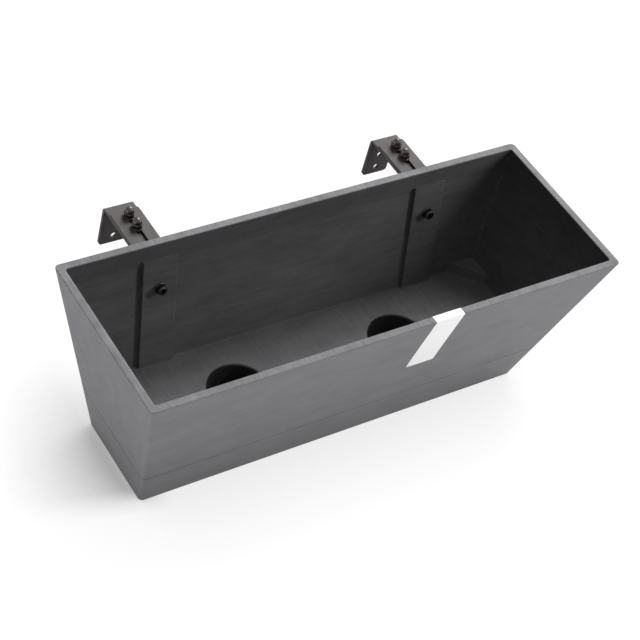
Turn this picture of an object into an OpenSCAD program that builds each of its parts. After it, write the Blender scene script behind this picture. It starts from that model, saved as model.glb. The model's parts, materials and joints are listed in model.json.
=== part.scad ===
// Window box planter with a water tray and two railing hooks.
// Origin: centre of the tray's underside. +Z is up, the front faces -Y, the hooks point to +Y.

/* [Body] */
// Outside length of the rim
rim_length = 550; // [480:1:700]
// Outside depth of the rim, front to back
rim_depth = 194; // [180:1:240]
// Height from the underside to the rim
body_height = 199; // [180:1:240]
// How far each outer face leans in from the rim to the underside
wall_lean = 43; // [36:0.5:46]
// Thickness of the moulded walls and floors
wall = 2.6; // [2.2:0.1:3.2]
// Width of the flat land on top of the rim
rim_land = 8.3; // [7:0.1:10]
// Outer corner radius
corner_r = 5; // [4:0.5:9]
// Rounding of the moulded edges
edge_round = 0.8; // [0.4:0.1:1.2]
// Fillet where the trough's floor meets its walls
floor_fillet = 1.5; // [0.8:0.1:2.4]

/* [Water tray] */
// Height of the tray, up to the seam
tray_height = 52; // [46:0.5:60]
// Width and depth of the bevel on each side of the seam
seam_bevel = 0.7; // [0.3:0.1:1.2]
// Clearance between the tray and what the trough puts into it
fit_gap = 0.4; // [0.2:0.05:0.8]
// Height of the locating ribs below the trough's floor
rib_height = 4; // [2:0.5:6]
// Thickness of the locating ribs
rib_wall = 2; // [1.4:0.1:3]
// Leg length of the raised block in each floor corner
block_leg = 31; // [26:0.5:34]
// Height of the corner blocks above the floor
block_height = 10; // [7:0.5:14]

/* [Soil wells] */
// Distance between the two well centres
well_spacing = 198; // [170:1:240]
// Inner radius of a well at the floor
well_r = 33; // [26:0.5:36]
// Rounding of the floor edge round a well
well_lip = 1.5; // [0.8:0.1:2.5]
// Draft angle of a well
well_draft = 3; // [1:0.5:5]
// Gap between a well's bottom and the tray's floor
well_gap = 2; // [1:0.5:6]
// Number of water slots in each well
slot_count = 8; // [4:1:12]
// Width of a water slot
water_slot_w = 4; // [2:0.5:6]
// Height of a water slot
water_slot_h = 14; // [8:1:20]

/* [Bracket channels] */
// Distance between the two brackets, centre to centre
bracket_spacing = 325; // [280:1:380]
// Depth of the channel in the back wall, and how far its pad stands proud inside
channel_depth = 3.5; // [3.2:0.1:4.5]
// Side clearance of the arm in its channel
channel_gap = 0.6; // [0.3:0.1:1.2]
// Drop from the rim to the top of the inside pad
pad_drop = 19.8; // [14:0.2:26]

/* [Hangers] */
// Width of the flat bar
strap_w = 32; // [26:0.5:38]
// Thickness of the flat bar
strap_t = 3; // [2.4:0.1:3.2]
// Inner radius of the bends
bend_r = 1.5; // [1:0.1:3]
// Corner radius of the bar's ends
strap_corner = 4; // [1:0.5:6]
// Drop from the rim to the top of the arms
arm_drop = 24; // [23:0.2:30]
// How far the arms reach behind the rim
arm_reach = 67.5; // [60:0.5:85]
// Length of the arm's leg in the channel
arm_leg = 54; // [48:1:70]
// Drop from the top of the arm to its wall bolt, along the leg
bolt_drop = 30.3; // [24:0.1:34]
// Length of the arm's slot
slot_length = 53; // [45:0.5:56]
// Bar left between the slot and the arm's end
slot_margin = 7.7; // [5:0.1:9]
// Length of the hook's top plate, outside
hook_plate = 58; // [46:0.5:60]
// Length of the hook's flange, outside
hook_flange = 51; // [46:0.5:70]
// Distance from the hook's back to its rear clamp bolt
hook_bolt_inset = 22.9; // [18:0.1:25]
// Distance between the two clamp bolts
bolt_pitch = 16.5; // [14:0.5:20]
// Drop from the hook's top to the upper flange hole
flange_hole_drop = 24.1; // [14:0.1:28]
// Distance between the two flange holes
flange_hole_pitch = 17.6; // [12:0.2:20]

/* [Fasteners] */
// Nominal diameter of the screws
screw_d = 6; // [5:1:6]
// Clearance added to the screw diameter for holes and slots
hole_clearance = 0.6; // [0.3:0.1:1]
// Length of a screw below its head
screw_length = 16; // [14:0.5:17]
// Diameter of a button head
head_d = 10.5; // [9:0.1:12]
// Height of a button head
head_h = 3.3; // [2.5:0.1:4]
// Width across the flats of the hexagon socket
socket_af = 4; // [3:0.5:5]
// Depth of the hexagon socket
socket_depth = 2; // [1.2:0.1:2.4]
// Outside diameter of a washer
washer_d = 12; // [11:0.1:14]
// Thickness of a washer
washer_t = 1.6; // [1:0.1:2]
// Width across the flats of a dome nut
nut_af = 10.5; // [9:0.5:12]
// Height of a dome nut
nut_h = 11; // [10.5:0.1:13]
// Height of a dome nut's hexagon
nut_hex_h = 5; // [4:0.1:6]
// Diameter of the dome
dome_d = 10; // [8.4:0.1:10.4]

/* [Label strip] */
// Width of the strip
label_w = 34.5; // [20:0.5:60]
// Length of the strip's front flap, along the face
label_front = 87; // [40:1:100]
// Length of the strip's inner flap
label_inner = 20; // [8:1:25]
// Thickness of the strip
label_t = 0.3; // [0.2:0.05:0.6]
// Distance from the middle of the box to the strip's centre line
label_x = 55.3; // [-60:0.1:80]

/* [Hidden] */

$fn = 64;
// How far a cutting shape runs past what it cuts
cut = 0.5;
// How far joined shapes reach into each other
bite = 0.3;
// Clearance between a screw and its nut's thread
thread_gap = 0.05;
// Free space past the end of a clamp screw, inside its dome nut
tip_gap = 0.5;
// Steps in each rounded corner of the moulded shells
corner_steps = 6;
// Steps in each rounded moulded edge
edge_steps = 3;
// Steps in each bend of a flat bar
bend_steps = 12;
// Least corner radius inside the shells
inner_corner_r = 2;

lean = wall_lean / body_height;
lean_angle = atan(lean);
// Height of the upright band inside the rim: it ends where it meets the leaning inner wall
band_h = (rim_land - wall) / lean;
floor_z = tray_height + wall;
seam_z = tray_height;

// Corner blocks of the trough, the sockets inside them and the tray's posts in the sockets
block_top = floor_z + block_height;
socket_leg = block_leg - wall * sqrt(2);
socket_top = block_top - wall;
post_leg = socket_leg - fit_gap * sqrt(2);
post_top = socket_top - fit_gap;

bracket_x = bracket_spacing / 2;
hole_r = (screw_d + hole_clearance) / 2;
channel_w = strap_w + 2 * channel_gap;
pad_w = channel_w + 2 * wall;
pad_top = body_height - pad_drop;
channel_top = pad_top - wall;

arm_top = body_height - arm_drop;
arm_end = rim_depth / 2 + arm_reach;
slot_rear = arm_end - slot_margin;
slot_front = slot_rear - slot_length;
rear_bolt_y = slot_rear - hole_r;
front_bolt_y = rear_bolt_y - bolt_pitch;
hook_top = arm_top - strap_t;
hook_back = rear_bolt_y + hook_bolt_inset;

nut_bore = screw_length - 2 * strap_t - washer_t + tip_gap;

// Half length and half depth of the outer faces at a height
function half_x(z) = rim_length / 2 - lean * (body_height - z);
function half_y(z) = rim_depth / 2 - lean * (body_height - z);

// Points of a rounded rectangle at height z, set in from the outer faces, anticlockwise from above
function ring(z, inset, r) = [
    for (q = [0:3]) for (i = [0:corner_steps])
        let (a = 90 * (q + i / corner_steps),
             sx = (q == 0 || q == 3) ? 1 : -1,
             sy = (q < 2) ? 1 : -1)
        [sx * (half_x(z) - inset - r) + r * cos(a), sy * (half_y(z) - inset - r) + r * sin(a), z]
];

// Points of a corner triangle at height z: its right angle is set in from the outer faces,
// and its long side is leg away from the inner faces' corner, along both walls
function corner_ring(z, inset, leg) =
    let (cx = half_x(z) - inset, cy = half_y(z) - inset, l = leg + 2 * (wall - inset))
    [[cx, cy, z], [cx - l, cy, z], [cx, cy - l, z]];

function flatten(lists) = [for (l = lists) for (p = l) p];

function unit(angle) = [cos(angle), sin(angle)];

// Closed solid through a stack of rings that have the same number of points
module skin(rings) {
    n = len(rings[0]);
    last = len(rings) - 1;
    sides = flatten([
        for (k = [0:last - 1]) for (i = [0:n - 1])
            let (a = k * n + i, b = k * n + (i + 1) % n)
            [[a, a + n, b + n], [a, b + n, b]]
    ]);
    bottom = [[for (i = [0:n - 1]) i]];
    top = [[for (i = [n - 1:-1:0]) last * n + i]];
    polyhedron(points = flatten(rings), faces = concat(bottom, sides, top), convexity = 4);
}

// Rings that round the edge of a shell between two heights, from steep to flat or the reverse
function round_top(z, inset, r, edge) = [
    for (i = [0:edge_steps])
        let (a = 90 * i / edge_steps)
        ring(z - edge * (1 - sin(a)), inset + edge * (1 - cos(a)), r)
];

function round_bottom(z, inset, r, edge) = [
    for (i = [edge_steps:-1:0])
        let (a = 90 * i / edge_steps)
        ring(z + edge * (1 - sin(a)), inset + edge * (1 - cos(a)), r)
];

module at_corners() {
    for (sx = [0, 1]) for (sy = [0, 1])
        mirror([sx, 0, 0]) mirror([0, sy, 0]) children();
}

// Hexagonal prism of a given width across the flats
module hexagon(af, h) {
    cylinder(r = af / 2 / cos(30), h = h, $fn = 6);
}

// Outer shape of the trough, from the seam to the rounded rim
module trough_outer() {
    skin(concat(
        [ring(seam_z, seam_bevel, corner_r), ring(seam_z + seam_bevel, 0, corner_r)],
        round_top(body_height, 0, corner_r, edge_round)
    ));
}

// Hollow of the trough: leaning walls up to the band, upright band, rounded rim edge
module trough_hollow() {
    inner_r = max(corner_r - wall, inner_corner_r);
    band_z = body_height - band_h;
    band_inset = lean * edge_round;
    skin(concat(
        round_bottom(floor_z, wall, inner_r, floor_fillet),
        [ring(band_z, wall, inner_r)],
        [for (i = [0:edge_steps])
            let (a = 90 * i / edge_steps, z = body_height - edge_round * (1 - sin(a)))
            ring(z, rim_land - lean * (body_height - z) - edge_round * (1 - cos(a)), inner_r)],
        [ring(body_height + cut, rim_land + lean * cut - edge_round, inner_r)]
    ));
}

// Slab behind the back wall's outer face, between two horizontal depths and two heights
module back_slab(width, outer, inner, z0, z1) {
    rotate([90, 0, 90])
        linear_extrude(height = width, center = true)
            polygon([
                [half_y(z0) - inner, z0], [half_y(z1) - inner, z1],
                [half_y(z1) - outer, z1], [half_y(z0) - outer, z0]
            ]);
}

// Hole in the floor above a well, with a rounded upper edge
module well_mouth() {
    rotate_extrude()
        difference() {
            polygon([
                [0, seam_z - cut], [well_r, seam_z - cut], [well_r, floor_z - well_lip],
                [well_r + well_lip, floor_z - well_lip], [well_r + well_lip, floor_z + cut],
                [0, floor_z + cut]
            ]);
            translate([well_r + well_lip, floor_z - well_lip]) circle(r = well_lip);
        }
}

// Side profile of a well: a tapered cup below the floor
module cup_profile() {
    z0 = wall + well_gap;
    z1 = seam_z;
    taper = (z1 - z0) * tan(well_draft);
    polygon([
        [0, z0], [well_r + wall - taper, z0], [well_r + wall, z1], [well_r, z1],
        [well_r - taper, z0 + wall], [0, z0 + wall]
    ]);
}

// Slots low in a well's wall and bottom, where water reaches the soil
module well_slots() {
    z0 = wall + well_gap;
    reach = well_r + wall + cut;
    inner_reach = well_r / 2;
    for (i = [0:slot_count - 1])
        rotate([0, 0, 360 * (i + 0.5) / slot_count])
            translate([inner_reach, -water_slot_w / 2, z0 - cut])
                cube([reach - inner_reach, water_slot_w, water_slot_h + cut]);
}

// Ribs below the trough's floor that keep it in line with the tray
module locating_ribs() {
    z0 = seam_z - rib_height;
    long = 2 * (half_x(z0) - wall - block_leg - rib_wall);
    short = 2 * (half_y(z0) - wall - block_leg - rib_wall);
    y = half_y(z0) - wall - fit_gap;
    x = half_x(z0) - wall - fit_gap;
    for (s = [-1, 1]) {
        translate([-long / 2, s * (y - rib_wall / 2) - rib_wall / 2, z0])
            cube([long, rib_wall, rib_height + bite]);
        translate([s * (x - rib_wall / 2) - rib_wall / 2, -short / 2, z0])
            cube([rib_wall, short, rib_height + bite]);
    }
}

// Raised blocks in the floor corners, with the sockets for the tray's posts below
module corner_blocks() {
    at_corners()
        skin([
            corner_ring(seam_z + seam_bevel, wall - bite, block_leg),
            corner_ring(block_top, wall - bite, block_leg)
        ]);
}

module corner_sockets() {
    at_corners()
        skin([
            corner_ring(seam_z - cut, wall, socket_leg),
            corner_ring(socket_top, wall, socket_leg)
        ]);
}

module corner_posts() {
    at_corners() {
        skin([
            corner_ring(wall - bite, wall - bite, post_leg),
            corner_ring(seam_z, wall - bite, post_leg)
        ]);
        skin([
            corner_ring(seam_z - cut, wall + fit_gap, post_leg),
            corner_ring(post_top, wall + fit_gap, post_leg)
        ]);
    }
}

module wall_holes() {
    for (s = [-1, 1])
        at_wall_bolt(s * bracket_x)
            translate([0, 0, -channel_depth - wall])
                cylinder(r = hole_r, h = 2 * (channel_depth + wall));
}

module trough() {
    color("dimgray")
        difference() {
            union() {
                difference() {
                    trough_outer();
                    trough_hollow();
                }
                for (s = [-1, 1])
                    translate([s * bracket_x, 0, 0])
                        back_slab(pad_w, wall - bite, wall + channel_depth, floor_z - bite, pad_top);
                corner_blocks();
                locating_ribs();
            }
            for (s = [-1, 1]) {
                translate([s * bracket_x, 0, 0])
                    back_slab(channel_w, -cut, channel_depth, floor_z, channel_top);
                translate([s * well_spacing / 2, 0, 0]) well_mouth();
            }
            corner_sockets();
            wall_holes();
        }
}

// Soil well: a slotted cup welded below the trough's floor. It reaches down into the water
module soil_well(x) {
    color("dimgray")
        translate([x, 0, 0])
            difference() {
                rotate_extrude() cup_profile();
                well_slots();
            }
}

module reservoir_tray() {
    inner_r = max(corner_r - wall, inner_corner_r);
    color("dimgray")
        union() {
            difference() {
                skin(concat(
                    round_bottom(0, 0, corner_r, edge_round),
                    [ring(seam_z - seam_bevel, 0, corner_r), ring(seam_z, seam_bevel, corner_r)]
                ));
                skin(concat(
                    round_bottom(wall, wall, inner_r, floor_fillet),
                    [ring(seam_z + cut, wall, inner_r)]
                ));
            }
            corner_posts();
        }
}

// Frame on a channel's floor at the wall bolt: Z points square out of the wall, into the trough
module at_wall_bolt(x) {
    z = arm_top - bolt_drop * cos(lean_angle);
    translate([x, half_y(z) - channel_depth, z])
        rotate([90 - lean_angle, 0, 0]) children();
}

// Side profile of a bent flat bar, with its outer sharp corner at the origin. The plate runs along +X
// below y = 0, and the leg runs down at the angle from the plate. Both lengths are measured outside
module bent_profile(plate, leg, angle) {
    turn = 180 - angle;
    outer_r = bend_r + strap_t;
    centre = [outer_r * tan(turn / 2), -outer_r];
    down = [cos(angle), -sin(angle)];
    across = [sin(angle), cos(angle)];
    polygon(concat(
        [[plate, -strap_t], [plate, 0]],
        [for (i = [0:bend_steps]) centre + outer_r * unit(90 + turn * i / bend_steps)],
        [leg * down, leg * down + strap_t * across],
        [for (i = [bend_steps:-1:0]) centre + bend_r * unit(90 + turn * i / bend_steps)]
    ));
}

// Trims a bar's end at x = 0 and rounds its two corners. The bar lies centred on z = 0
module end_cut() {
    r = strap_corner;
    y = strap_w / 2 - r;
    translate([0, 0, -strap_t])
        linear_extrude(height = 2 * strap_t)
            difference() {
                translate([-r, -strap_w / 2 - cut]) square([r + 2 * cut, strap_w + 2 * cut]);
                translate([-2 * r, -y]) square([2 * r, 2 * y]);
                for (s = [-1, 1])
                    translate([-r, s * y]) circle(r = r);
            }
}

// Flat bar with one bend, its width centred on Y
module bent_strap(plate, leg, angle) {
    difference() {
        rotate([90, 0, 0])
            linear_extrude(height = strap_w, center = true)
                bent_profile(plate + cut, leg + cut, angle);
        translate([plate, 0, -strap_t / 2]) end_cut();
        rotate([0, angle, 0]) translate([leg, 0, strap_t / 2]) end_cut();
    }
}

module arm_slot() {
    h = strap_t + 2 * cut;
    translate([0, 0, arm_top - strap_t - cut]) {
        for (y = [slot_front + hole_r, slot_rear - hole_r])
            translate([0, y, 0]) cylinder(r = hole_r, h = h);
        translate([-hole_r, slot_front + hole_r, 0])
            cube([2 * hole_r, slot_length - 2 * hole_r, h]);
    }
}

// Arm: its leg lies on the channel's floor, and its slotted plate reaches back
module arm(x) {
    corner_y = half_y(arm_top) - channel_depth;
    color("gray")
        difference() {
            translate([x, corner_y, arm_top])
                rotate([0, 0, 90])
                    bent_strap(arm_end - corner_y, arm_leg, 90 + lean_angle);
            translate([x, 0, 0]) arm_slot();
            at_wall_bolt(x)
                translate([0, 0, -strap_t - cut])
                    cylinder(r = hole_r, h = strap_t + 2 * cut);
        }
}

// Hook: its plate lies below the arm, and its flange goes down behind the railing
module hook(x) {
    color("gray")
        difference() {
            translate([x, hook_back, hook_top])
                rotate([0, 0, -90])
                    bent_strap(hook_plate, hook_flange, 90);
            for (y = [rear_bolt_y, front_bolt_y])
                translate([x, y, hook_top - strap_t - cut])
                    cylinder(r = hole_r, h = strap_t + 2 * cut);
            for (drop = [flange_hole_drop, flange_hole_drop + flange_hole_pitch])
                translate([x, hook_back + cut, hook_top - drop])
                    rotate([90, 0, 0]) cylinder(r = hole_r, h = strap_t + 2 * cut);
        }
}

// Button-head screw: the head lies below z = 0 and the shank rises from it
module screw() {
    a = head_d / 2;
    dome_r = (a * a + head_h * head_h) / (2 * head_h);
    color("darkslategray")
        difference() {
            union() {
                rotate_extrude()
                    mirror([0, 1])
                        intersection() {
                            translate([0, head_h - dome_r]) circle(r = dome_r);
                            square([a, head_h]);
                        }
                cylinder(d = screw_d, h = screw_length);
            }
            translate([0, 0, -head_h - cut]) hexagon(socket_af, socket_depth + cut);
        }
}

module washer() {
    color("darkslategray")
        difference() {
            cylinder(d = washer_d, h = washer_t);
            translate([0, 0, -cut]) cylinder(r = hole_r, h = washer_t + 2 * cut);
        }
}

// Dome nut: it stands on z = 0, with its blind thread open below
module dome_nut() {
    corner = nut_af / 2 / cos(30);
    rise = (corner - nut_af / 2) * tan(30);
    color("darkslategray")
        difference() {
            union() {
                intersection() {
                    hexagon(nut_af, nut_hex_h);
                    rotate_extrude()
                        polygon([
                            [0, 0], [nut_af / 2, 0], [corner, rise],
                            [corner, nut_hex_h - rise], [nut_af / 2, nut_hex_h], [0, nut_hex_h]
                        ]);
                }
                rotate_extrude()
                    intersection() {
                        union() {
                            translate([0, nut_hex_h / 2])
                                square([dome_d / 2, nut_h - dome_d / 2 - nut_hex_h / 2]);
                            translate([0, nut_h - dome_d / 2]) circle(d = dome_d);
                        }
                        translate([0, nut_hex_h / 2]) square([dome_d, nut_h]);
                    }
            }
            translate([0, 0, -cut])
                cylinder(r = screw_d / 2 + thread_gap, h = nut_bore + cut);
        }
}

module wall_bolt(x) {
    at_wall_bolt(x)
        translate([0, 0, wall * cos(lean_angle) + washer_t])
            mirror([0, 0, 1]) screw();
}

module wall_inner_washer(x) {
    at_wall_bolt(x) translate([0, 0, wall * cos(lean_angle)]) washer();
}

module wall_outer_washer(x) {
    at_wall_bolt(x) translate([0, 0, -strap_t - washer_t]) washer();
}

module wall_nut(x) {
    at_wall_bolt(x)
        translate([0, 0, -strap_t - washer_t]) mirror([0, 0, 1]) dome_nut();
}

module clamp_bolt(x, y) {
    translate([x, y, hook_top - strap_t]) screw();
}

module clamp_washer(x, y) {
    translate([x, y, arm_top]) washer();
}

module clamp_nut(x, y) {
    translate([x, y, arm_top + washer_t]) dome_nut();
}

// Strip of stiff paper folded over the front rim
module label_strip() {
    rim_y = -half_y(body_height);
    inner_y = rim_y + rim_land;
    foot_z = body_height - label_front * cos(lean_angle);
    foot_y = -half_y(foot_z);
    t = label_t / cos(lean_angle);
    color("white")
        translate([label_x, 0, 0])
            rotate([90, 0, 90])
                linear_extrude(height = label_w, center = true)
                    polygon([
                        [foot_y, foot_z], [rim_y, body_height], [inner_y, body_height],
                        [inner_y, body_height - label_inner],
                        [inner_y + label_t, body_height - label_inner],
                        [inner_y + label_t, body_height + label_t],
                        [rim_y - t, body_height + label_t], [foot_y - t, foot_z]
                    ]);
}

trough();
reservoir_tray();
soil_well(-well_spacing / 2);  // left_soil_well
soil_well(well_spacing / 2);  // right_soil_well
arm(-bracket_x);  // left_arm
arm(bracket_x);  // right_arm
hook(-bracket_x);  // left_hook
hook(bracket_x);  // right_hook
wall_bolt(-bracket_x);  // left_wall_bolt
wall_bolt(bracket_x);  // right_wall_bolt
wall_inner_washer(-bracket_x);  // left_wall_inner_washer
wall_inner_washer(bracket_x);  // right_wall_inner_washer
wall_outer_washer(-bracket_x);  // left_wall_outer_washer
wall_outer_washer(bracket_x);  // right_wall_outer_washer
wall_nut(-bracket_x);  // left_wall_nut
wall_nut(bracket_x);  // right_wall_nut
clamp_bolt(-bracket_x, rear_bolt_y);  // left_rear_clamp_bolt
clamp_bolt(-bracket_x, front_bolt_y);  // left_front_clamp_bolt
clamp_bolt(bracket_x, rear_bolt_y);  // right_rear_clamp_bolt
clamp_bolt(bracket_x, front_bolt_y);  // right_front_clamp_bolt
clamp_washer(-bracket_x, rear_bolt_y);  // left_rear_clamp_washer
clamp_washer(-bracket_x, front_bolt_y);  // left_front_clamp_washer
clamp_washer(bracket_x, rear_bolt_y);  // right_rear_clamp_washer
clamp_washer(bracket_x, front_bolt_y);  // right_front_clamp_washer
clamp_nut(-bracket_x, rear_bolt_y);  // left_rear_clamp_nut
clamp_nut(-bracket_x, front_bolt_y);  // left_front_clamp_nut
clamp_nut(bracket_x, rear_bolt_y);  // right_rear_clamp_nut
clamp_nut(bracket_x, front_bolt_y);  // right_front_clamp_nut
label_strip();
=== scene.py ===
"""Window box planter: finishes, fasteners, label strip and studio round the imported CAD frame."""

import json
import math

import bpy
from bpy.props import FloatProperty, FloatVectorProperty, PointerProperty
from mathutils import Matrix, Vector

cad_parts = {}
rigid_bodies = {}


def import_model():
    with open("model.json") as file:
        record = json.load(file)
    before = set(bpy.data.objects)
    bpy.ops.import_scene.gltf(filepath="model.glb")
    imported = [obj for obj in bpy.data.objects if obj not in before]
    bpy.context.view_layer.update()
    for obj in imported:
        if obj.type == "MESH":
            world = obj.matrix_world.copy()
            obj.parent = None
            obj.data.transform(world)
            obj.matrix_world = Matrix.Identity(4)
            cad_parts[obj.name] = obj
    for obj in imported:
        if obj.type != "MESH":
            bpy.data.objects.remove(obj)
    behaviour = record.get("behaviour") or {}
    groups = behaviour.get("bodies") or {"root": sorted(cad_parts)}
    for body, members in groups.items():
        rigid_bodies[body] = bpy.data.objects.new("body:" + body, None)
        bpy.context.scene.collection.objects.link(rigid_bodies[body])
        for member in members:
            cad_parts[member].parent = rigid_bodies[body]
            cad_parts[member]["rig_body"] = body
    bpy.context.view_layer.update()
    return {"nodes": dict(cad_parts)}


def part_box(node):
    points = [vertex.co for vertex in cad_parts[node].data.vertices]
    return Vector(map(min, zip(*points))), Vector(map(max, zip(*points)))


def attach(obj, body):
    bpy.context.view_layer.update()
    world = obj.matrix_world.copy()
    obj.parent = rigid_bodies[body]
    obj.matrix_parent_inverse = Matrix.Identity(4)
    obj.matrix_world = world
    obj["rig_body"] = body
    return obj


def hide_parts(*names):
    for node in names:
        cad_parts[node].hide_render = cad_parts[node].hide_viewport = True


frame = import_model()

bl_info = {
    "name": "Window Box Planter",
    "version": (1, 0, 0),
    "blender": (4, 5, 0),
    "location": "View3D > Sidebar > Planter",
    "description": "Finishes a railing planter: moulded box, steel hangers, fasteners and label strip",
    "category": "Object",
}

MM = 0.001
SIDES = ("left", "right")
CLAMP_SPOTS = ("rear", "front")
WALL_FACES = ("inner", "outer")
BOX_NODES = ("trough", "reservoir_tray")
WELL_NODES = ("left_soil_well", "right_soil_well")
BAR_NODES = ("left_arm", "right_arm", "left_hook", "right_hook")
LAMPS = ("key_light", "side_light", "front_panel", "left_panel", "top_panel")

# The walls lean out by this much over the height of the box, on every side
WALL_RUN = 43 * MM
TROUGH_LOW, TROUGH_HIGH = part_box("trough")
WALL_LEAN = math.atan(WALL_RUN / TROUGH_HIGH.z)
# The front left corner of the base, where x and y are least
BASE_CORNER = (TROUGH_LOW.x + WALL_RUN, TROUGH_LOW.y + WALL_RUN)

# A hexagon's corners stand this far round from the middles of its flats
HALF_FLAT = math.radians(30)
SCREW_STEPS = 72

# Most of a noise lies in this span
NOISE_SPAN = (0.3, 0.7)
# The grain of the plastic: outside, inside and what the land of the rim adds
OUTER_GRAIN = 1.4
INNER_GRAIN = 2.6
LAND_GRAIN = 2.4
LAND_LEVEL = TROUGH_HIGH.z - 1.2 * MM
# Painted shade: how dark the inside of the box is painted, as a share of its colour
INNER_PAINTED_SHADE = 0.76
EDGE_SOFTNESS = 1.8 * MM

FLOOR_SIZE = 30.0
FLOOR_DROP = 0.25 * MM
# What the camera sees of the lamps' shadows on the floor
FLOOR_SHADE_SHARE = 0.06
# The shadow close round the box. The limits of its deep left part are from the base's corner
SHADOW_REACH = 125 * MM
SHADOW_FALL = 1.2
SHADOW_TURN = (-8.2 * MM, 31.8 * MM)
SHADOW_EDGE = (-16.5 * MM, 15.5 * MM)
SHADOW_SLOPE = 0.24
LAMP_TARGET = Vector((0, 0, 100 * MM))
SENSOR_WIDTH = 36.0
FAR_CLIP = 100.0


# Selection and modelling helpers

def leave_edit_mode():
    if bpy.context.mode != "OBJECT":
        bpy.ops.object.mode_set(mode="OBJECT")


def pick(*objects):
    """Selects these objects alone, the last one active."""
    leave_edit_mode()
    bpy.ops.object.select_all(action="DESELECT")
    for obj in objects:
        obj.select_set(True)
        bpy.context.view_layer.objects.active = obj


def apply_modifier(obj, kind, **settings):
    """Adds a modifier with these settings and applies it."""
    pick(obj)
    modifier = obj.modifiers.new(kind.title(), kind)
    for key, value in settings.items():
        setattr(modifier, key, value)
    bpy.ops.object.modifier_apply(modifier=modifier.name)


def draw_chain(name, points):
    """An open chain of edges through 3-D points, extruded one after the other."""
    pick()
    bpy.ops.mesh.primitive_plane_add(size=MM)
    obj = bpy.context.object
    obj.name = name
    bpy.ops.object.mode_set(mode="EDIT")
    bpy.ops.mesh.merge(type="CENTER")
    bpy.ops.transform.translate(value=points[0])
    for here, there in zip(points, points[1:]):
        step = Vector(there) - Vector(here)
        bpy.ops.mesh.extrude_vertices_move(TRANSFORM_OT_translate={"value": step})
    leave_edit_mode()
    return obj


def tidy_shell(obj, threshold=1e-7):
    """Merges doubled points and turns every face outwards."""
    pick(obj)
    bpy.ops.object.mode_set(mode="EDIT")
    bpy.ops.mesh.select_all(action="SELECT")
    bpy.ops.mesh.remove_doubles(threshold=threshold)
    bpy.ops.mesh.normals_make_consistent(inside=False)
    leave_edit_mode()


def turn_profile(name, profile, steps=48):
    """A solid of revolution about Z from (radius, height) points."""
    obj = draw_chain(name, [(r, 0, z) for r, z in profile])
    bpy.ops.object.mode_set(mode="EDIT")
    bpy.ops.mesh.select_all(action="SELECT")
    bpy.ops.mesh.spin(steps=steps, angle=math.tau, center=(0, 0, 0), axis=(0, 0, 1))
    leave_edit_mode()
    tidy_shell(obj)
    return obj


def hexagon_bar(name, across_flats, bottom, top):
    """A hexagonal bar along Z, with two corners on the X axis."""
    pick()
    bpy.ops.mesh.primitive_cylinder_add(
        vertices=6, radius=across_flats / 2 / math.cos(HALF_FLAT), depth=top - bottom,
        location=(0, 0, (top + bottom) / 2), rotation=(0, 0, HALF_FLAT))
    bpy.ops.object.transform_apply(location=True, rotation=True, scale=True)
    obj = bpy.context.object
    obj.name = name
    return obj


def combine(obj, other, operation):
    """Applies a boolean with another solid, and deletes that one."""
    apply_modifier(obj, "BOOLEAN", operation=operation, object=other, solver="EXACT")
    bpy.data.objects.remove(other)
    if not obj.data.polygons:
        raise RuntimeError(f"{obj.name} came out empty")
    return obj


def smooth_shading(obj, degrees=32):
    pick(obj)
    bpy.ops.object.shade_smooth_by_angle(angle=math.radians(degrees))


def soften(obj, width, segments=2, degrees=25):
    """Rounds the sharp edges a little, so that they catch the light."""
    apply_modifier(obj, "BEVEL", width=width, segments=segments, limit_method="ANGLE",
                   angle_limit=math.radians(degrees), harden_normals=False)
    smooth_shading(obj)


def arc(centre, radius, start, end, steps):
    """Points (x, y) on a circular arc, angles in degrees."""
    turns = [math.radians(start + (end - start) * i / steps) for i in range(steps + 1)]
    return [(centre[0] + radius * math.cos(a), centre[1] + radius * math.sin(a)) for a in turns]


def place_copy(master, name, place, node):
    """Copies a finished piece to its seat, where it stands for its CAD node."""
    pick(master)
    bpy.ops.object.duplicate(linked=False)
    obj = bpy.context.object
    obj.name = name
    obj.matrix_world = place
    bpy.ops.object.transform_apply(location=True, rotation=True, scale=True)
    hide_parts(node)
    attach(obj, frame["nodes"][node]["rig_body"])
    return obj


# Material helpers

def new_material(name):
    """An empty node material with its output and principled shader."""
    material = bpy.data.materials.new(name)
    material.use_nodes = True
    tree = material.node_tree
    tree.nodes.clear()
    shader = tree.nodes.new("ShaderNodeBsdfPrincipled")
    output = tree.nodes.new("ShaderNodeOutputMaterial")
    tree.links.new(shader.outputs["BSDF"], output.inputs["Surface"])
    return material, tree, shader


def node(tree, kind, inputs=None, **settings):
    """Adds a node. Inputs are values, or sockets to link from."""
    made = tree.nodes.new(kind)
    for key, value in settings.items():
        setattr(made, key, value)
    for key, value in (inputs or {}).items():
        if isinstance(value, bpy.types.NodeSocket):
            tree.links.new(value, made.inputs[key])
        else:
            made.inputs[key].default_value = value
    return made


def grain(tree, stretch, detail=4.0, roughness=0.6):
    """Noise on object coordinates. Stretch is how many features fit in a metre on each axis."""
    coords = node(tree, "ShaderNodeTexCoord")
    mapping = node(tree, "ShaderNodeMapping", {"Vector": coords.outputs["Object"], "Scale": stretch})
    return node(tree, "ShaderNodeTexNoise", {
        "Vector": mapping.outputs["Vector"], "Scale": 1.0, "Detail": detail,
        "Roughness": roughness}).outputs["Fac"]


def remap(tree, value, low, high, to_low, to_high):
    return node(tree, "ShaderNodeMapRange", {
        "Value": value, "From Min": low, "From Max": high,
        "To Min": to_low, "To Max": to_high}).outputs["Result"]


def vary(tree, noise, to_low, to_high):
    """Turns the usual span of a noise into a span of values."""
    return remap(tree, noise, *NOISE_SPAN, to_low, to_high)


def arithmetic(tree, operation, first, second):
    return node(tree, "ShaderNodeMath", {0: first, 1: second}, operation=operation).outputs[0]


def blend_values(tree, factor, first, second):
    return node(tree, "ShaderNodeMix", {0: factor, 2: first, 3: second}, data_type="FLOAT").outputs[0]


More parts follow.
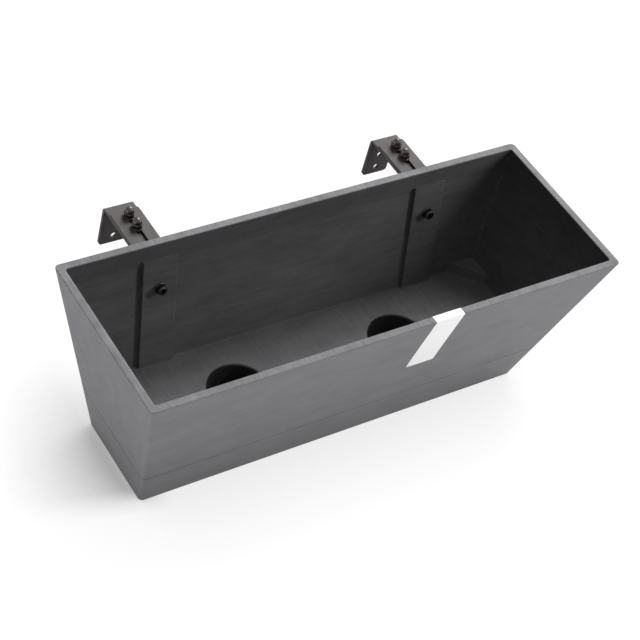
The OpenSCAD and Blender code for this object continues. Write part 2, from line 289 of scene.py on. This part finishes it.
def surface_axes(tree):
    """The axes of the surface's normal, and of its place."""
    normal = node(tree, "ShaderNodeNewGeometry").outputs["Normal"]
    place = node(tree, "ShaderNodeTexCoord").outputs["Object"]
    return (node(tree, "ShaderNodeSeparateXYZ", {0: normal}).outputs,
            node(tree, "ShaderNodeSeparateXYZ", {0: place}).outputs)


def wall_grain(tree, facing, along, across, detail=4.0):
    """Noise in streaks that run along X on the long walls and along Y elsewhere."""
    long_wall = arithmetic(tree, "GREATER_THAN",
                           arithmetic(tree, "ABSOLUTE", facing["Y"], 0.0), 0.6)
    return blend_values(tree, long_wall, grain(tree, (across, along, across), detail),
                        grain(tree, (along, across, across), detail))


def relief(tree, height, strength, distance, **inputs):
    """Normals of a bump. Distance is the bump's depth."""
    return node(tree, "ShaderNodeBump", {
        "Height": height, "Strength": strength, "Distance": distance,
        **inputs}).outputs["Normal"]


def seen_directly(tree):
    """1 where the camera or a reflection sees the surface, 0 where it lights something."""
    path = node(tree, "ShaderNodeLightPath")
    seen = arithmetic(tree, "MAXIMUM", path.outputs["Is Camera Ray"], path.outputs["Is Glossy Ray"])
    return arithmetic(tree, "MAXIMUM", seen, path.outputs["Is Transmission Ray"])


def tint(tree, colour, strength):
    """A colour times a varying strength."""
    return node(tree, "ShaderNodeVectorMath", {0: colour, 3: strength},
                operation="SCALE").outputs[0]


def moulded_plastic(name, colour):
    """Matt moulded plastic with mineral streaks along each wall and a fine speckle."""
    material, tree, shader = new_material(name)
    facing, place = surface_axes(tree)
    streaks = wall_grain(tree, facing, along=16, across=330)
    fine = wall_grain(tree, facing, along=70, across=1100, detail=2.0)
    clouds = grain(tree, (24, 50, 50), detail=3.0)
    speckle = grain(tree, (900, 900, 900), detail=2.0, roughness=0.5)
    mixed = 0.0
    for value, share in ((streaks, 0.17), (fine, 0.08), (clouds, 0.2), (speckle, 0.2)):
        part = arithmetic(tree, "MULTIPLY", arithmetic(tree, "SUBTRACT", value, 0.5), share)
        mixed = arithmetic(tree, "ADD", part, mixed)
    # The inside of the box is more grainy than its rim and its outer faces, which look
    #  down a little, and it is darkened with painted shade. The land of the rim is the grainiest part
    inside = arithmetic(tree, "MULTIPLY",
                        arithmetic(tree, "GREATER_THAN", facing["Z"], -0.05),
                        arithmetic(tree, "LESS_THAN", place["Z"], LAND_LEVEL))
    land = arithmetic(tree, "MULTIPLY",
                      arithmetic(tree, "GREATER_THAN", facing["Z"], 0.9),
                      arithmetic(tree, "GREATER_THAN", place["Z"], LAND_LEVEL))
    contrast = arithmetic(tree, "ADD", remap(tree, inside, 0.0, 1.0, OUTER_GRAIN, INNER_GRAIN),
                          remap(tree, land, 0.0, 1.0, 0.0, LAND_GRAIN))
    # Painted shade: the inside of the box is darkened
    shade = remap(tree, inside, 0.0, 1.0, 1.0, INNER_PAINTED_SHADE)
    strength = arithmetic(tree, "MULTIPLY", shade, arithmetic(
        tree, "ADD", arithmetic(tree, "MULTIPLY", mixed, contrast), 1.0))
    tree.links.new(tint(tree, colour, strength), shader.inputs["Base Color"])
    tree.links.new(vary(tree, speckle, 0.68, 0.86), shader.inputs["Roughness"])
    height = arithmetic(tree, "ADD", arithmetic(tree, "MULTIPLY", streaks, 0.8),
                        arithmetic(tree, "MULTIPLY", speckle, 0.5))
    # Sharp edges are shaded as if rounded, so that they catch the light
    edges = node(tree, "ShaderNodeBevel", {"Radius": EDGE_SOFTNESS}, samples=8)
    tree.links.new(relief(tree, height, 0.35, 0.15 * MM, Normal=edges.outputs["Normal"]),
                   shader.inputs["Normal"])
    shader.inputs["Specular IOR Level"].default_value = 0.05
    return material


def coated_bar(name, colour):
    """Thin satin coat on flat steel bar, slightly uneven, with painted light: palest where it faces up
    and darker on its upright sides.
    """
    material, tree, shader = new_material(name)
    facing, _ = surface_axes(tree)
    mottle = grain(tree, (60, 60, 60), detail=3.0)
    rolled = grain(tree, (700, 60, 500), detail=2.0)
    speck = grain(tree, (1500, 1500, 1500), detail=1.0)
    uneven = arithmetic(tree, "MULTIPLY", vary(tree, mottle, 0.86, 1.14),
                        vary(tree, rolled, 0.86, 1.14))
    # Painted light and shade: faces that look up are painted paler, upright sides darker
    strength = arithmetic(tree, "MULTIPLY", uneven,
                          remap(tree, facing["Z"], 0.0, 1.0, 0.78, 1.12))
    tree.links.new(tint(tree, colour, strength), shader.inputs["Base Color"])
    tree.links.new(vary(tree, mottle, 0.42, 0.56), shader.inputs["Roughness"])
    shader.inputs["Specular IOR Level"].default_value = 0.06
    tree.links.new(relief(tree, speck, 0.25, 0.05 * MM), shader.inputs["Normal"])
    return material


def dark_steel(name, colour):
    """Dark burnished steel of the screws, washers and nuts."""
    material, tree, shader = new_material(name)
    mottle = grain(tree, (400, 400, 400), detail=3.0)
    tree.links.new(tint(tree, colour, vary(tree, mottle, 0.75, 1.3)), shader.inputs["Base Color"])
    tree.links.new(vary(tree, mottle, 0.22, 0.36), shader.inputs["Roughness"])
    shader.inputs["Metallic"].default_value = 0.9
    tree.links.new(relief(tree, mottle, 0.1, 0.03 * MM), shader.inputs["Normal"])
    return material


def label_paper(name, colour):
    """Bare coated paper with a soft fibre grain."""
    material, tree, shader = new_material(name)
    fibres = grain(tree, (500, 1400, 1400), detail=3.0)
    cloud = grain(tree, (60, 60, 60), detail=2.0)
    strength = arithmetic(tree, "MULTIPLY", vary(tree, fibres, 0.985, 1.015),
                          vary(tree, cloud, 0.985, 1.01))
    tree.links.new(tint(tree, colour, strength), shader.inputs["Base Color"])
    shader.inputs["Roughness"].default_value = 0.62
    shader.inputs["Specular IOR Level"].default_value = 0.35
    tree.links.new(relief(tree, fibres, 0.15, 0.04 * MM), shader.inputs["Normal"])
    return material


def shadowed_floor(name, colour, left_shadow, front_shadow):
    """A pale floor that looks white to the camera, with a soft shadow close round the box."""
    material, tree, shader = new_material(name)
    shade = blend_values(tree, seen_directly(tree), 1.0, FLOOR_SHADE_SHARE)
    tree.links.new(tint(tree, colour, shade), shader.inputs["Base Color"])
    shader.inputs["Roughness"].default_value = 0.9
    shader.inputs["Specular IOR Level"].default_value = 0.0
    shader.inputs["Emission Color"].default_value = (1, 1, 1, 1)
    # At the left end the shadow is deep, and its edge runs from the base's front corner to the
    # left and a little back
    coords = node(tree, "ShaderNodeTexCoord").outputs["Object"]
    from_corner = node(tree, "ShaderNodeMapping", {
        "Vector": coords, "Location": (-BASE_CORNER[0], -BASE_CORNER[1], 0.0)})
    place = node(tree, "ShaderNodeSeparateXYZ", {0: from_corner.outputs["Vector"]}).outputs
    across = arithmetic(tree, "ADD", place["Y"],
                        arithmetic(tree, "MULTIPLY", place["X"], SHADOW_SLOPE))
    left = arithmetic(tree, "MULTIPLY", remap(tree, place["X"], *SHADOW_TURN, 1.0, 0.0),
                      remap(tree, across, *SHADOW_EDGE, 0.0, 1.0))
    depth = remap(tree, left, 0.0, 1.0, front_shadow, left_shadow)
    open_sky = node(tree, "ShaderNodeAmbientOcclusion", {"Distance": SHADOW_REACH},
                    samples=16).outputs["AO"]
    closed = arithmetic(tree, "POWER", arithmetic(tree, "SUBTRACT", 1.0, open_sky), SHADOW_FALL)
    white = arithmetic(tree, "SUBTRACT", 1.0, arithmetic(tree, "MULTIPLY", depth, closed))
    tree.links.new(arithmetic(tree, "MULTIPLY", seen_directly(tree), white),
                   shader.inputs["Emission Strength"])
    return material


def dress_nodes(names, material):
    """Puts a material on CAD nodes, whose shapes stay as they are."""
    for name in names:
        slots = frame["nodes"][name].material_slots
        if not slots:
            raise RuntimeError(f"{name} has no material slot")
        for slot in slots:
            slot.material = material


def give_material(obj, material):
    obj.data.materials.clear()
    obj.data.materials.append(material)


def fastener_steel():
    """The steel that all the fasteners share."""
    steel = bpy.data.materials.get("dark_steel")
    if steel is None:
        raise RuntimeError("Make Fastener Finish comes before the fasteners")
    return steel


# Sizes, colours and lamps that a user may change

def length(name, description, millimetres):
    return FloatProperty(name=name, description=description, default=millimetres * MM,
                         unit="LENGTH", precision=5)


def colour(name, description, value):
    return FloatVectorProperty(name=name, description=description, default=value,
                               subtype="COLOR", size=3, min=0.0, max=1.0)


def spot(name, description, value):
    return FloatVectorProperty(name=name, description=description, default=value, size=3,
                               subtype="TRANSLATION", unit="LENGTH", precision=6)


def extent(name, description, value):
    return FloatVectorProperty(name=name, description=description, default=value, size=2,
                               unit="LENGTH", min=0.0)


def watts(name, description, value):
    return FloatProperty(name=name, description=description, default=value, unit="POWER", min=0.0)


def amount(name, description, value):
    return FloatProperty(name=name, description=description, default=value, min=0.0)


class PlanterColours(bpy.types.PropertyGroup):
    """Base colours of the finishes."""
    box: colour("Box", "Moulded plastic of the trough and the tray", (0.221, 0.221, 0.228))
    # Painted shade: the wells' plastic is darkened for the shade deep inside them
    well_painted_shade: colour("Wells", "Moulded plastic of the soil wells", (0.07, 0.07, 0.072))
    bar: colour("Bars", "Coat of the arms and hooks", (0.1, 0.093, 0.091))
    steel: colour("Fasteners", "Steel of the screws, washers and nuts", (0.062, 0.055, 0.053))
    paper: colour("Label", "Bare paper of the label strip", (0.97, 0.97, 0.97))
    floor: colour("Floor", "Studio floor", (0.9, 0.895, 0.9))


class PlanterFasteners(bpy.types.PropertyGroup):
    """Sizes of the screws, washers and nuts."""
    screw_d: length("Screw", "Nominal diameter of the screws", 6)
    screw_length: length("Screw length", "Length of a screw below its head", 16)
    pitch: length("Thread pitch", "Pitch of the screw thread", 1)
    head_d: length("Head", "Diameter of a button head", 10.5)
    head_h: length("Head height", "Height of a button head", 3.3)
    socket_af: length("Socket", "Width across the flats of the hexagon socket", 4)
    socket_depth: length("Socket depth", "Depth of the hexagon socket", 2)
    cap_d: length("Cap head", "Diameter of a wall screw's cap head", 10)
    cap_h: length("Cap head height", "Height of a wall screw's cap head", 6)
    cap_socket_af: length("Cap socket", "Width across the flats of a cap head's socket", 5)
    cap_socket_depth: length("Cap socket depth", "Depth of a cap head's socket", 3)
    knurl: length("Knurl", "Depth of the grooves round a cap head", 0.22)
    washer_d: length("Washer", "Outside diameter of a washer", 12)
    washer_hole_d: length("Washer hole", "Diameter of a washer's hole", 6.6)
    washer_t: length("Washer thickness", "Thickness of a washer", 1.6)
    nut_af: length("Nut", "Width across the flats of a dome nut", 10.5)
    nut_h: length("Nut height", "Height of a dome nut", 11)
    nut_hex_h: length("Hexagon height", "Height of a dome nut's hexagon", 5)
    dome_d: length("Dome", "Diameter of the dome", 10)
    thread_bore_d: length("Nut bore", "Diameter of a dome nut's bore", 6.1)
    edge: length("Edge", "Rounding of the small edges", 0.18)
    wall_lean: FloatProperty(name="Wall lean", description="Lean of the walls from upright",
                             default=WALL_LEAN, unit="ROTATION")


class PlanterLabel(bpy.types.PropertyGroup):
    """Shape of the folded label strip."""
    front_flap: length("Front flap", "Length of the flap on the front face", 87)
    inner_flap: length("Inner flap", "Length of the flap inside the rim", 20)
    rim_land: length("Rim", "Width of the rim below the strip", 8.3)
    thickness: length("Thickness", "Thickness of the paper", 0.2)
    fold_radius: length("Fold radius", "Radius of the two folds", 0.5)
    bulge: length("Bulge", "How far the front fold stands off the rim's edge", 0.06)
    lift: length("Lift", "How far the foot of the front flap stands off the face", 0.35)


class PlanterStage(bpy.types.PropertyGroup):
    """Camera and studio light."""
    camera_place: spot("Camera place", "Place of the camera", (-0.903931, -0.908405, 1.382698))
    camera_turn: FloatVectorProperty(
        name="Camera turn", description="Turn of the camera", size=3, subtype="EULER",
        default=tuple(math.radians(a) for a in (43.9403, -12.1927, -31.9147)))
    lens: FloatProperty(name="Lens", description="Focal length in millimetres on a 36 mm sensor",
                        default=100.353, unit="CAMERA")
    key_light_place: spot("Key light place", "Place of the large soft box", (2.3, 2.1, 3.75))
    key_light_size: extent("Key light size", "Width and height of the soft box", (2.9, 2.4))
    key_light_power: watts("Key light power", "Power of the soft box", 318.0)
    side_light_place: spot("Side light place", "Place of the narrow side light", (1.75, -1.0, 1.25))
    side_light_size: extent("Side light size", "Width and height of the side light", (0.15, 1.2))
    side_light_power: watts("Side light power", "Power of the side light", 17.0)
    front_panel_place: spot("Front panel place", "Place of the low front panel", (-0.2, -1.6, 0.1))
    front_panel_size: extent("Front panel size", "Width and height of the front panel", (3.0, 0.2))
    front_panel_power: watts("Front panel power", "Power of the front panel", 8.5)
    left_panel_place: spot("Left panel place", "Place of the low left panel", (-1.7, 0.0, 0.1))
    left_panel_size: extent("Left panel size", "Width and height of the left panel", (2.0, 0.2))
    left_panel_power: watts("Left panel power", "Power of the left panel", 10.0)
    top_panel_place: spot("Top panel place", "Place of the panel overhead", (0.3, 0.0, 3.0))
    top_panel_size: extent("Top panel size", "Width and height of the top panel", (0.6, 0.6))
    top_panel_power: watts("Top panel power", "Power of the top panel", 5.0)
    room: amount("Room light", "Strength of the even light of the room", 0.012)
    left_shadow: amount("Left shadow", "Depth of the floor's shadow at the left end", 1.25)
    front_shadow: amount("Front shadow", "Depth of the floor's shadow in front", 0.33)


SETTINGS = {"planter_colours": PlanterColours, "planter_fasteners": PlanterFasteners,
            "planter_label": PlanterLabel, "planter_stage": PlanterStage}


# Operators

class PLANTER_OT_finish_box(bpy.types.Operator):
    """Gives the trough and the water tray their moulded plastic, and the wells a darker plastic that
    is painted shade
    """
    bl_idname = "planter.finish_box"
    bl_label = "Finish Box"

    def execute(self, context):
        colours = context.scene.planter_colours
        dress_nodes(BOX_NODES, moulded_plastic("moulded_plastic", colours.box))
        # The wells get the darker colour as painted shade
        dress_nodes(WELL_NODES, moulded_plastic("well_plastic", colours.well_painted_shade))
        return {"FINISHED"}


class PLANTER_OT_finish_bars(bpy.types.Operator):
    """Gives the arms and hooks their satin coat"""
    bl_idname = "planter.finish_bars"
    bl_label = "Finish Hangers"

    def execute(self, context):
        colours = context.scene.planter_colours
        dress_nodes(BAR_NODES, coated_bar("coated_bar", colours.bar))
        return {"FINISHED"}


def middle_of(node_name):
    low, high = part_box(node_name)
    return (low + high) / 2


def clamp_seat(node_name):
    """Where a piece of a clamp stands: on its node's lowest level."""
    seat = middle_of(node_name)
    seat.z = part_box(node_name)[0].z
    return Matrix.Translation(seat)


def washer_seat(side, wall_face, sizes):
    """The foot of a wall washer on the inner or outer face, with Z away from the wall."""
    middle = middle_of(f"{side}_wall_{wall_face}_washer")
    middle.x = middle_of(f"{side}_wall_bolt").x
    turn = math.radians(90) - sizes.wall_lean
    if wall_face == "outer":
        turn += math.pi
    return (Matrix.Translation(middle) @ Matrix.Rotation(turn, 4, "X")
            @ Matrix.Translation((0, 0, -sizes.washer_t / 2)))


class PLANTER_OT_make_nuts(bpy.types.Operator):
    """Makes the dome nuts"""
    bl_idname = "planter.make_nuts"
    bl_label = "Make Dome Nuts"

    def execute(self, context):
        sizes = context.scene.planter_fasteners
        flat = sizes.nut_af / 2
        corner = flat / math.cos(HALF_FLAT)
        # The chamfer starts a little inside the flats, and takes the rise off each corner's edge
        face = 0.96 * flat
        rise = 1.3 * (corner - flat) * math.tan(HALF_FLAT)
        top = sizes.nut_hex_h
        # Each form runs on past the other and no edges meet, so that each run gives the same mesh
        nut = hexagon_bar("dome_nut_master", sizes.nut_af, -MM, top + MM)
        past = 2 * corner - face
        steps = 96
        cone = turn_profile("nut_chamfer", [
            (0, 0), (face, 0), (past, 2 * rise), (past, top - 2 * rise), (face, top), (0, top)],
            steps=steps)
        cone.rotation_euler.z = math.pi / steps
        combine(nut, cone, "INTERSECT")
        radius = sizes.dome_d / 2
        middle = sizes.nut_h - radius
        dome = turn_profile("nut_dome", [
            (0, top / 2), (radius, top / 2), (radius, middle)]
            + arc((0, middle), radius, 0, 90, 14)[1:], steps=64)
        combine(nut, dome, "UNION")
        bore = sizes.thread_bore_d / 2
        depth = sizes.nut_h - 2 * sizes.washer_t
        hole = turn_profile("nut_bore", [
            (0, -MM), (bore + sizes.pitch / 2 + MM, -MM), (bore, sizes.pitch / 2),
            (bore, depth), (0, depth + sizes.pitch)], steps=48)
        combine(nut, hole, "DIFFERENCE")
        soften(nut, sizes.edge)
        give_material(nut, fastener_steel())
        for side in SIDES:
            for clamp in CLAMP_SPOTS:
                name = f"{side}_{clamp}_clamp_nut"
                place_copy(nut, name + "_piece", clamp_seat(name), name)
            seat = washer_seat(side, "outer", sizes) @ Matrix.Translation((0, 0, sizes.washer_t))
            name = f"{side}_wall_nut"
            place_copy(nut, name + "_piece", seat, name)
        bpy.data.objects.remove(nut)
        return {"FINISHED"}


class PLANTER_OT_make_washers(bpy.types.Operator):
    """Makes the flat washers"""
    bl_idname = "planter.make_washers"
    bl_label = "Make Washers"

    def execute(self, context):
        sizes = context.scene.planter_fasteners
        hole, rim, top, edge = (sizes.washer_hole_d / 2, sizes.washer_d / 2, sizes.washer_t,
                                2 * sizes.edge)
        washer = turn_profile("washer_master", [
            (hole, edge / 2), (hole + edge / 2, 0), (rim - edge / 2, 0), (rim, edge / 2),
            (rim, top - edge), (rim - edge, top), (hole + edge, top), (hole, top - edge),
            (hole, edge / 2)], steps=64)
        smooth_shading(washer)
        give_material(washer, fastener_steel())
        for side in SIDES:
            for clamp in CLAMP_SPOTS:
                name = f"{side}_{clamp}_clamp_washer"
                place_copy(washer, name + "_piece", clamp_seat(name), name)
            for wall_face in WALL_FACES:
                name = f"{side}_wall_{wall_face}_washer"
                seat = washer_seat(side, wall_face, sizes)
                place_copy(washer, name + "_piece", seat, name)
        bpy.data.objects.remove(washer)
        return {"FINISHED"}


class PLANTER_OT_make_screws(bpy.types.Operator):
    """Makes the button-head clamp screws and the cap-head wall screws"""
    bl_idname = "planter.make_screws"
    bl_label = "Make Screws"

    def execute(self, context):
        sizes = context.scene.planter_fasteners
        # Each head lies below z = 0 and its shank rises from it
        head = sizes.head_d / 2
        dome = (head ** 2 + sizes.head_h ** 2) / (2 * sizes.head_h)
        sweep = math.degrees(math.asin(head / dome))
        button = arc((0, dome - sizes.head_h), dome, -90, -90 + sweep, 12) + [(head, 0)]
        clamp_screw = self.make_screw("clamp_screw_master", button, sizes, sizes.socket_af,
                                      sizes.socket_depth)
        rim, edge = sizes.cap_d / 2, 2 * sizes.edge
        bottom = -sizes.cap_h
        cap = [(0, bottom), (rim - 2 * edge, bottom), (rim - edge / 2, bottom + edge),
               (rim, bottom + 2 * edge), (rim, -edge), (rim - edge, 0)]
        wall_screw = self.make_screw("wall_screw_master", cap, sizes, sizes.cap_socket_af,
                                     sizes.cap_socket_depth, sizes.knurl)
        for side in SIDES:
            for clamp in CLAMP_SPOTS:
                name = f"{side}_{clamp}_clamp_bolt"
                seat = clamp_seat(name) @ Matrix.Translation((0, 0, sizes.head_h))
                place_copy(clamp_screw, name + "_piece", seat, name)
            # The wall screw comes from the inside, head on its washer
            seat = (washer_seat(side, "inner", sizes)
                    @ Matrix.Translation((0, 0, sizes.washer_t)) @ Matrix.Rotation(math.pi, 4, "X"))
            name = f"{side}_wall_bolt"
            place_copy(wall_screw, name + "_piece", seat, name)
        bpy.data.objects.remove(clamp_screw)
        bpy.data.objects.remove(wall_screw)
        return {"FINISHED"}

    def make_screw(self, name, head, sizes, socket_af, socket_depth, knurl=0.0):
        """A screw from its head's profile, with thread grooves and a hexagon socket."""
        shank = sizes.screw_d / 2
        core = shank - 0.61 * sizes.pitch
        groove_shares = ((core, 0.45), (core, 0.55), (shank, 0.95), (shank, 1.0))
        profile = head + [(shank, 0), (shank, sizes.pitch)]
        height = sizes.pitch
        while height + sizes.pitch < sizes.screw_length - sizes.pitch / 2:
            profile += [(radius, height + share * sizes.pitch) for radius, share in groove_shares]
            height += sizes.pitch
        profile += [(shank - sizes.pitch / 2, sizes.screw_length), (0, sizes.screw_length)]
        screw = turn_profile(name, profile, steps=SCREW_STEPS)
        if knurl:
            self.knurl_head(screw, knurl, max(radius for radius, _ in head))
        bottom = min(height for _, height in head)
        socket = hexagon_bar("screw_socket", socket_af, bottom - MM, bottom + socket_depth)
        combine(screw, socket, "DIFFERENCE")
        smooth_shading(screw, 28)
        give_material(screw, fastener_steel())
        return screw

    def knurl_head(self, screw, depth, radius):
        """Presses every second column of points round the head inwards."""
        pick(screw)
        for vertex in screw.data.vertices:
            place = vertex.co
            column = round(math.atan2(place.y, place.x) * SCREW_STEPS / math.tau)
            on_rim = math.hypot(place.x, place.y) > radius - depth
            vertex.select = on_rim and place.z < 0 and column % 2 == 1
        for edge in screw.data.edges:
            edge.select = all(screw.data.vertices[i].select for i in edge.vertices)
        for face in screw.data.polygons:
            face.select = False
        bpy.ops.object.mode_set(mode="EDIT")
        share = 1 - depth / radius
        bpy.ops.transform.resize(value=(share, share, 1), center_override=(0, 0, 0))
        leave_edit_mode()


class PLANTER_OT_make_steel(bpy.types.Operator):
    """Makes the finish that all the fasteners share"""
    bl_idname = "planter.make_steel"
    bl_label = "Make Fastener Finish"

    def execute(self, context):
        dark_steel("dark_steel", context.scene.planter_colours.steel)
        return {"FINISHED"}


class PLANTER_OT_make_label(bpy.types.Operator):
    """Makes the bare label strip, folded over the front rim"""
    bl_idname = "planter.make_label"
    bl_label = "Make Label Strip"

    def execute(self, context):
        sizes = context.scene.planter_label
        lean = context.scene.planter_fasteners.wall_lean
        low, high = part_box("label_strip")
        gap = 0.02 * MM
        # The strip lies on the rim and stays inside the box of its node
        top = high.z - sizes.thickness - sizes.bulge - gap
        rim_y = low.y + sizes.thickness + sizes.bulge + gap
        inner_y = rim_y + sizes.rim_land
        radius = sizes.fold_radius
        # Side profile (y, z) from the foot of the front flap to the foot of the inner flap
        up = Vector((-math.sin(lean), math.cos(lean)))
        out = Vector((-math.cos(lean), -math.sin(lean)))
        edge = Vector((rim_y, top))
        flap = sizes.front_flap - radius
        # Shares of the flap's height, and how far the paper stands off the face there
        front = []
        for share, lift in ((0.0, sizes.lift), (0.06, 0.6 * sizes.lift), (0.2, 0.15 * sizes.lift),
                            (0.45, 0.0), (0.7, 0.08 * sizes.bulge), (0.88, 0.45 * sizes.bulge),
                            (0.96, 0.85 * sizes.bulge)):
            front.append(edge - up * flap * (1 - share) + out * (gap + lift))
        # Both folds are arcs that end a few degrees off the faces that they join
        fold = arc((edge.x + radius - sizes.bulge, top - radius + sizes.bulge * 0.35),
                   radius, 180 + math.degrees(lean) - 8, 84, 8)
        ridge = [(rim_y + (inner_y - rim_y) * share, top + gap + sizes.bulge * lift)
                 for share, lift in ((0.4, 0.16), (0.65, 0.04))]
        back_fold = arc((inner_y - radius + gap, top - radius + gap), radius, 80, 0, 6)
        inner = [(inner_y + gap, top - radius - share * (sizes.inner_flap - radius))
                 for share in (0.3, 0.65, 1.0)]
        side = [tuple(p) for p in front] + fold + ridge + back_fold + inner
        strip = draw_chain("label_strip_piece", [(low.x, y, z) for y, z in side])
        bpy.ops.object.mode_set(mode="EDIT")
        columns = 10
        for _ in range(columns):
            bpy.ops.mesh.select_all(action="DESELECT")
            self.pick_last_column(strip)
            bpy.ops.mesh.extrude_region_move(
                TRANSFORM_OT_translate={"value": ((high.x - low.x) / columns, 0, 0)})
        leave_edit_mode()
        tidy_shell(strip)
        self.face_away_from_box(strip)
        apply_modifier(strip, "SOLIDIFY", thickness=sizes.thickness, offset=1.0)
        apply_modifier(strip, "SUBSURF", levels=1, render_levels=1, boundary_smooth="PRESERVE_CORNERS")
        smooth_shading(strip, 50)
        give_material(strip, label_paper("label_paper", context.scene.planter_colours.paper))
        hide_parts("label_strip")
        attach(strip, "trough")
        return {"FINISHED"}

    def pick_last_column(self, strip):
        """Selects the column of points with the largest X."""
        leave_edit_mode()
        reach = max(v.co.x for v in strip.data.vertices)
        for vertex in strip.data.vertices:
            vertex.select = abs(vertex.co.x - reach) < MM / 100
        for edge in strip.data.edges:
            edge.select = all(strip.data.vertices[i].select for i in edge.vertices)
        bpy.ops.object.mode_set(mode="EDIT")

    def face_away_from_box(self, strip):
        """Turns the sheet's normals away from the box, so that its thickness grows outwards."""
        flap = min(strip.data.polygons, key=lambda p: p.center.z)
        if flap.normal.y > 0:
            pick(strip)
            bpy.ops.object.mode_set(mode="EDIT")
            bpy.ops.mesh.select_all(action="SELECT")
            bpy.ops.mesh.flip_normals()
            leave_edit_mode()


class PLANTER_OT_make_stage(bpy.types.Operator):
    """Makes the floor, the lamps, the room and the camera"""
    bl_idname = "planter.make_stage"
    bl_label = "Make Studio"

    def execute(self, context):
        stage = context.scene.planter_stage
        self.make_floor(context.scene.planter_colours.floor, stage)
        for name in LAMPS:
            self.make_lamp(name, getattr(stage, name + "_place"), getattr(stage, name + "_size"),
                           getattr(stage, name + "_power"))
        self.make_room(context.scene, stage.room)
        pick()
        bpy.ops.object.camera_add(location=stage.camera_place, rotation=stage.camera_turn)
        camera = context.object
        camera.name = "photo_camera"
        camera.data.lens = stage.lens
        camera.data.sensor_width = SENSOR_WIDTH
        camera.data.clip_end = FAR_CLIP
        context.scene.camera = camera
        context.scene.view_settings.view_transform = "Standard"
        return {"FINISHED"}

    def make_floor(self, floor_colour, stage):
        """The floor lies a little below the box, so that their faces don't fight."""
        pick()
        bpy.ops.mesh.primitive_plane_add(size=FLOOR_SIZE, location=(0, 0, -FLOOR_DROP))
        floor = bpy.context.object
        floor.name = "studio_floor"
        give_material(floor, shadowed_floor("studio_floor", floor_colour, stage.left_shadow,
                                            stage.front_shadow))

    def make_lamp(self, name, place, size, power):
        """A rectangular soft box that faces the planter."""
        pick()
        aim = LAMP_TARGET - Vector(place)
        bpy.ops.object.light_add(type="AREA", location=place,
                                 rotation=aim.to_track_quat("-Z", "Y").to_euler())
        lamp = bpy.context.object
        lamp.name = name
        lamp.data.shape = "RECTANGLE"
        lamp.data.size, lamp.data.size_y = size
        lamp.data.energy = power
        lamp.visible_camera = False

    def make_room(self, scene, strength):
        """Even light all round, white where the camera or a reflection sees it."""
        world = bpy.data.worlds.new("studio_room")
        world.use_nodes = True
        tree = world.node_tree
        tree.nodes.clear()
        background = node(tree, "ShaderNodeBackground", {
            "Color": (1, 1, 1, 1), "Strength": blend_values(tree, seen_directly(tree), strength, 1.0)})
        node(tree, "ShaderNodeOutputWorld", {"Surface": background.outputs["Background"]})
        scene.world = world


class PLANTER_PT_panel(bpy.types.Panel):
    """Lists the planter's steps"""
    bl_idname = "PLANTER_PT_panel"
    bl_label = "Planter"
    bl_space_type = "VIEW_3D"
    bl_region_type = "UI"
    bl_category = "Planter"

    def draw(self, context):
        for operator in STEPS:
            self.layout.operator(operator.bl_idname)
        for group in SETTINGS:
            box = self.layout.box()
            for key in SETTINGS[group].__annotations__:
                box.prop(getattr(context.scene, group), key)


STEPS = (
    PLANTER_OT_finish_box,
    PLANTER_OT_finish_bars,
    PLANTER_OT_make_steel,
    PLANTER_OT_make_nuts,
    PLANTER_OT_make_washers,
    PLANTER_OT_make_screws,
    PLANTER_OT_make_label,
    PLANTER_OT_make_stage,
)


def register():
    for cls in (*SETTINGS.values(), *STEPS, PLANTER_PT_panel):
        bpy.utils.register_class(cls)
    for name, group in SETTINGS.items():
        setattr(bpy.types.Scene, name, PointerProperty(type=group))


def unregister():
    for name in SETTINGS:
        delattr(bpy.types.Scene, name)
    for cls in (PLANTER_PT_panel, *reversed(STEPS), *SETTINGS.values()):
        bpy.utils.unregister_class(cls)


def main():
    register()
    bpy.ops.planter.finish_box()
    bpy.ops.planter.finish_bars()
    bpy.ops.planter.make_steel()
    bpy.ops.planter.make_nuts()
    bpy.ops.planter.make_washers()
    bpy.ops.planter.make_screws()
    bpy.ops.planter.make_label()
    bpy.ops.planter.make_stage()


if __name__ == "__main__":
    main()
